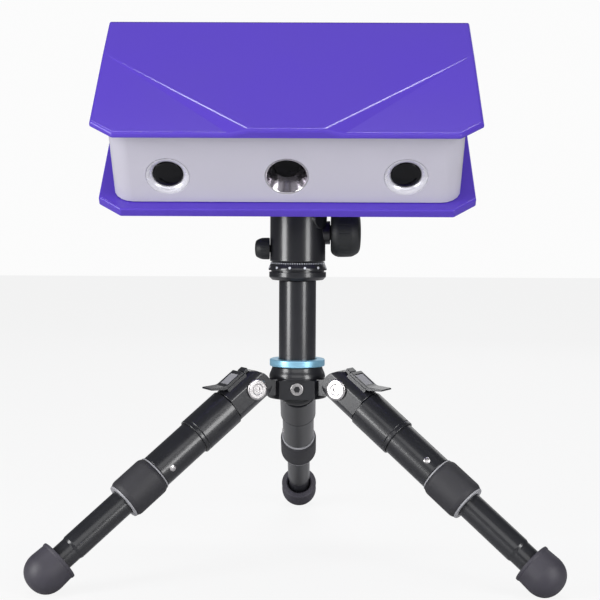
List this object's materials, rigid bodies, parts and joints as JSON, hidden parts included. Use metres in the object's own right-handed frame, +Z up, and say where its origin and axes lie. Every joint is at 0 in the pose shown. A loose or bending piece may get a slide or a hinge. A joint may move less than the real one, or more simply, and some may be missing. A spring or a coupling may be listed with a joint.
{
  "type": "structured-light 3d scanner on mini tripod",
  "caption": "Box-shaped structured-light scanner with two cameras beside a projector, tilted on a ball head with a short column and spread, extending tripod legs.",
  "frame": {"origin": "middle of the object's plan, on the surface that the feet stand on", "axes": "+Z up along the column; the scanner looks along -Y; +X to the right for someone facing the lenses, who sees the lock knob on the +X side"},
  "size_m": [0.2958, 0.2634, 0.3193],
  "materials": {
    "violet_plastic": "satin violet moulding, fine smooth skin",
    "grey_housing": "light grey satin paint with a slight metallic lustre",
    "silver_cone": "polished bright cone",
    "dark_glass": "black coated lens glass",
    "black_plastic": "matt black moulding",
    "aluminium": "milled bare aluminium",
    "circuit_green": "green solder mask",
    "brass": "turned brass",
    "socket_steel": "plated sheet steel",
    "screw_steel": "bright plated steel",
    "black_anodised": "glossy black anodised aluminium with soft lilac-grey reflections",
    "ball_steel": "ground steel ball",
    "rubber_black": "black rubber-covered knob",
    "blue_anodised": "light blue anodised ring",
    "grip_grey": "matt dark grey grip",
    "foot_rubber": "matt grey rubber"
  },
  "bodies": {
    "stand": {"hub": "black_anodised", "hub_set_screw": "screw_steel", "hub_plug": "rubber_black", "column": "black_anodised", "blue_collar": "blue_anodised", "pan_base": "black_anodised"},
    "leg_left": {"leg_head_left": "black_anodised", "pivot_bolt_left": "screw_steel", "sleeve_left": "black_anodised", "upper_tube_left": "black_anodised"},
    "tab_left": {"angle_tab_left": "black_anodised"},
    "lock_left": {"twist_lock_left": "grip_grey"},
    "lower_leg_left": {"lower_tube_left": "black_anodised", "foot_left": "foot_rubber"},
    "leg_right": {"leg_head_right": "black_anodised", "pivot_bolt_right": "screw_steel", "sleeve_right": "black_anodised", "upper_tube_right": "black_anodised"},
    "tab_right": {"angle_tab_right": "black_anodised"},
    "lock_right": {"twist_lock_right": "grip_grey"},
    "lower_leg_right": {"lower_tube_right": "black_anodised", "foot_right": "foot_rubber"},
    "leg_back": {"leg_head_back": "black_anodised", "pivot_bolt_back": "screw_steel", "sleeve_back": "black_anodised", "upper_tube_back": "black_anodised"},
    "tab_back": {"angle_tab_back": "black_anodised"},
    "lock_back": {"twist_lock_back": "grip_grey"},
    "lower_leg_back": {"lower_tube_back": "black_anodised", "foot_back": "foot_rubber"},
    "head": {"ball_head_body": "black_anodised", "pressure_cup": "black_plastic"},
    "lock_knob_body": {"lock_knob": "rubber_black"},
    "pan_knob_body": {"pan_knob": "rubber_black"},
    "ball": {"ball_stem": "ball_steel"},
    "scanner": {"camera_platform": "black_anodised", "platform_stud": "screw_steel", "bottom_tray": "violet_plastic", "top_cover": "violet_plastic", "front_housing": "grey_housing", "rear_panel": "grey_housing", "data_socket": "socket_steel", "power_socket": "black_plastic", "case_screw_front_left": "screw_steel", "case_screw_front_right": "screw_steel", "case_screw_rear_left": "screw_steel", "case_screw_rear_right": "screw_steel", "camera_bezel_left": "silver_cone", "camera_bezel_right": "silver_cone", "camera_glass_left": "dark_glass", "camera_glass_right": "dark_glass", "camera_module_left": "black_plastic", "camera_module_right": "black_plastic", "projector_cone": "silver_cone", "projector_glass": "dark_glass", "projector_barrel": "black_plastic", "projector_engine": "black_plastic", "optical_rail": "aluminium", "main_board": "circuit_green", "stand_insert": "brass"}
  },
  "joints": [
    {"name": "leg_fold_left", "type": "hinge", "parent": "stand", "child": "leg_left", "pos_m": [-0.02797, -0.05323, 0.10584], "axis": [0.5, -0.866, 0], "range_deg": [0, 43]},
    {"name": "angle_tab_pull_left", "type": "slide", "parent": "leg_left", "child": "tab_left", "axis": [-0.6907, -0.3988, -0.6032], "range_m": [0, 0.003], "stiffness_N_per_m": 300, "springref_m": -0.003},
    {"name": "twist_lock_turn_left", "type": "hinge", "parent": "leg_left", "child": "lock_left", "pos_m": [-0.02797, -0.05323, 0.10584], "axis": [-0.6907, -0.3988, -0.6032], "range_deg": [0, 90]},
    {"name": "leg_slide_left", "type": "slide", "parent": "leg_left", "child": "lower_leg_left", "axis": [0.6907, 0.3988, 0.6032], "range_m": [0, 0.046]},
    {"name": "leg_fold_right", "type": "hinge", "parent": "stand", "child": "leg_right", "pos_m": [0.02797, -0.05323, 0.10584], "axis": [0.5, 0.866, 0], "range_deg": [0, 43]},
    {"name": "angle_tab_pull_right", "type": "slide", "parent": "leg_right", "child": "tab_right", "axis": [0.6907, -0.3988, -0.6032], "range_m": [0, 0.003], "stiffness_N_per_m": 300, "springref_m": -0.003},
    {"name": "twist_lock_turn_right", "type": "hinge", "parent": "leg_right", "child": "lock_right", "pos_m": [0.02797, -0.05323, 0.10584], "axis": [0.6907, -0.3988, -0.6032], "range_deg": [0, 90]},
    {"name": "leg_slide_right", "type": "slide", "parent": "leg_right", "child": "lower_leg_right", "axis": [-0.6907, 0.3988, 0.6032], "range_m": [0, 0.046]},
    {"name": "leg_fold_back", "type": "hinge", "parent": "stand", "child": "leg_back", "pos_m": [0, -0.00478, 0.10584], "axis": [-1, 0, 0], "range_deg": [0, 43]},
    {"name": "angle_tab_pull_back", "type": "slide", "parent": "leg_back", "child": "tab_back", "axis": [0, 0.7976, -0.6032], "range_m": [0, 0.003], "stiffness_N_per_m": 300, "springref_m": -0.003},
    {"name": "twist_lock_turn_back", "type": "hinge", "parent": "leg_back", "child": "lock_back", "pos_m": [0, -0.00478, 0.10584], "axis": [0, 0.7976, -0.6032], "range_deg": [0, 90]},
    {"name": "leg_slide_back", "type": "slide", "parent": "leg_back", "child": "lower_leg_back", "axis": [0, -0.7976, 0.6032], "range_m": [0, 0.046]},
    {"name": "head_pan", "type": "hinge", "parent": "stand", "child": "head", "pos_m": [0, -0.03708, 0.22054], "axis": [0, 0, 1], "continuous": true},
    {"name": "ball_tilt", "type": "hinge", "parent": "head", "child": "ball", "pos_m": [0, -0.03708, 0.22054], "axis": [1, 0, 0], "range_deg": [-82, 3.5]},
    {"name": "scanner_swivel", "type": "hinge", "parent": "ball", "child": "scanner", "pos_m": [0, -0.03708, 0.22054], "axis": [0, -0.6293, 0.7771], "continuous": true},
    {"name": "lock_knob_turn", "type": "hinge", "parent": "head", "child": "lock_knob_body", "pos_m": [0, -0.03708, 0.19654], "axis": [1, 0, 0], "range_deg": [0, 270]},
    {"name": "pan_knob_turn", "type": "hinge", "parent": "head", "child": "pan_knob_body", "pos_m": [0, -0.03708, 0.18694], "axis": [-1, 0, 0], "range_deg": [0, 270]}
  ]
}
